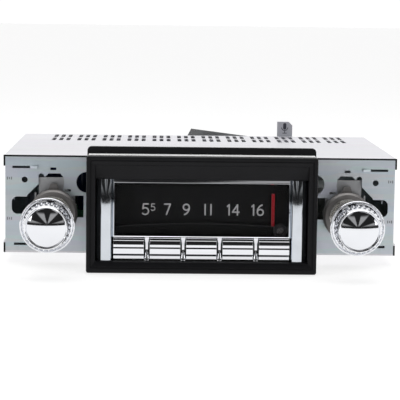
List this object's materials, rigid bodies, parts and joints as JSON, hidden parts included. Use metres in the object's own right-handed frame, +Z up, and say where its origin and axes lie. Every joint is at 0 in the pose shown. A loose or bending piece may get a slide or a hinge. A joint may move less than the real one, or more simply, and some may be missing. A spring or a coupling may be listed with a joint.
{
  "type": "car radio",
  "caption": "Vintage-style car radio: plated vented chassis, black bezel with chrome surround, dial with red needle, push buttons and two chrome knobs on long shafts.",
  "frame": {"origin": "bottom centre of the whole radio's box, level with the bezel's lower edge", "axes": "+Z up, -Y towards the driver (the knobs and bezel), +X to the right as seen from the front"},
  "size_m": [0.178, 0.1986, 0.0561],
  "materials": {
    "plated_panel": "satin zinc plate, slightly blue",
    "plated_cover": "satin zinc plate",
    "bracket_zinc": "dull zinc plate",
    "control_grey": "matt grey",
    "zinc_screw": "bright zinc",
    "nickel": "satin nickel",
    "chrome": "polished",
    "bezel_black": "semi-matt moulded black",
    "black_plastic": "matt moulded black",
    "dial_black": "deep matt black",
    "dial_print": "grey-white ink",
    "lens": "clear acrylic",
    "eye_dark": "dark infrared window",
    "needle_red": "red, slightly glossy",
    "circuit_board": "green solder mask",
    "brass": "turned",
    "chip_black": "moulded epoxy",
    "tinned_can": "tinned sheet",
    "capacitor_sleeve": "shrink sleeve",
    "black_aluminium": "black anodised",
    "fuse_plastic": "clear red",
    "label": "grey vinyl label",
    "dark_steel": "dark zinc, slightly glossy",
    "cord_fibre": "waxed thread",
    "white_nylon": "natural nylon"
  },
  "bodies": {
    "chassis": {"chassis_frame": "plated_panel", "top_cover": "plated_cover", "bottom_cover": "plated_cover", "rear_panel": "plated_panel", "cover_screws": "zinc_screw", "main_board": "circuit_board", "board_standoffs": "brass", "amplifier_chip": "chip_black", "tuner_can": "tinned_can", "capacitors": "capacitor_sleeve", "heat_sink": "black_aluminium", "power_socket": "black_plastic", "fuse": "fuse_plastic", "usb_socket": "tinned_can", "line_sockets": "black_plastic", "aerial_socket": "nickel", "mic_socket": "nickel", "mic_flag": "label", "rear_stud": "zinc_screw", "strap_nut": "zinc_screw", "bezel": "bezel_black", "bezel_flange": "bezel_black", "nose_housing": "black_plastic", "chrome_surround": "chrome", "dial_lens": "lens", "dial_plate": "dial_black", "dial_numerals": "dial_print", "dial_mask": "dial_black", "remote_eye": "eye_dark", "nose_board": "circuit_board", "button_switches": "chip_black", "dial_rail": "nickel", "dial_cord": "cord_fibre", "dial_motor": "nickel"},
    "left_carriage": {"left_bracket": "bracket_zinc", "left_control": "control_grey", "left_dash_nut": "nickel"},
    "left_knob_set": {"left_shaft": "nickel", "left_knob": "chrome"},
    "right_carriage": {"right_bracket": "bracket_zinc", "right_control": "control_grey", "right_dash_nut": "nickel"},
    "right_knob_set": {"right_shaft": "nickel", "right_knob": "chrome"},
    "needle_set": {"needle": "needle_red", "needle_carriage": "white_nylon"},
    "drive_wheel": {"drive_pulley": "white_nylon"},
    "idler_wheel": {"idler_pulley": "white_nylon"},
    "strap": {"support_strap": "dark_steel"},
    "key_1": {"button_1": "chrome"},
    "key_2": {"button_2": "chrome"},
    "key_3": {"button_3": "chrome"},
    "key_4": {"button_4": "chrome"},
    "key_5": {"button_5": "chrome"}
  },
  "joints": [
    {"name": "left_carriage_slide", "type": "slide", "parent": "chassis", "child": "left_carriage", "axis": [-1, 0, 0], "range_m": [-0.002, 0.008]},
    {"name": "right_carriage_slide", "type": "slide", "parent": "chassis", "child": "right_carriage", "axis": [1, 0, 0], "range_m": [-0.002, 0.008]},
    {"name": "left_knob_turn", "type": "hinge", "parent": "left_carriage", "child": "left_knob_set", "pos_m": [-0.0663, -0.07475, 0.0228], "axis": [0, 1, 0], "range_deg": [-150, 150]},
    {"name": "right_knob_turn", "type": "hinge", "parent": "right_carriage", "child": "right_knob_set", "pos_m": [0.0663, -0.07475, 0.0228], "axis": [0, 1, 0], "range_deg": [-1080, 0]},
    {"name": "needle_slide", "type": "slide", "parent": "chassis", "child": "needle_set", "axis": [1, 0, 0], "range_m": [-0.0574, 0]},
    {"name": "drive_pulley_turn", "type": "hinge", "parent": "chassis", "child": "drive_wheel", "pos_m": [-0.0365, -0.05575, 0.0215], "axis": [0, 1, 0], "range_deg": [0, 804]},
    {"name": "idler_pulley_turn", "type": "hinge", "parent": "chassis", "child": "idler_wheel", "pos_m": [0.0365, -0.05575, 0.0215], "axis": [0, 1, 0], "range_deg": [0, 804]},
    {"name": "button_1_press", "type": "slide", "parent": "chassis", "child": "key_1", "axis": [0, 1, 0], "range_m": [0, 0.002], "stiffness_N_per_m": 200, "springref_m": -0.001},
    {"name": "button_2_press", "type": "slide", "parent": "chassis", "child": "key_2", "axis": [0, 1, 0], "range_m": [0, 0.002], "stiffness_N_per_m": 200, "springref_m": -0.001},
    {"name": "button_3_press", "type": "slide", "parent": "chassis", "child": "key_3", "axis": [0, 1, 0], "range_m": [0, 0.002], "stiffness_N_per_m": 200, "springref_m": -0.001},
    {"name": "button_4_press", "type": "slide", "parent": "chassis", "child": "key_4", "axis": [0, 1, 0], "range_m": [0, 0.002], "stiffness_N_per_m": 200, "springref_m": -0.001},
    {"name": "button_5_press", "type": "slide", "parent": "chassis", "child": "key_5", "axis": [0, 1, 0], "range_m": [0, 0.002], "stiffness_N_per_m": 200, "springref_m": -0.001},
    {"name": "strap_swivel", "type": "hinge", "parent": "chassis", "child": "strap", "pos_m": [0.036, 0.09025, 0.0401], "axis": [0, 1, 0], "range_deg": [-90, 90]}
  ],
  "couplings": [
    {"joint": "needle_slide", "follows": "right_knob_turn", "m_per_rad": 0.003044},
    {"joint": "drive_pulley_turn", "follows": "right_knob_turn", "ratio": -0.7424},
    {"joint": "idler_pulley_turn", "follows": "right_knob_turn", "ratio": -0.7424}
  ]
}
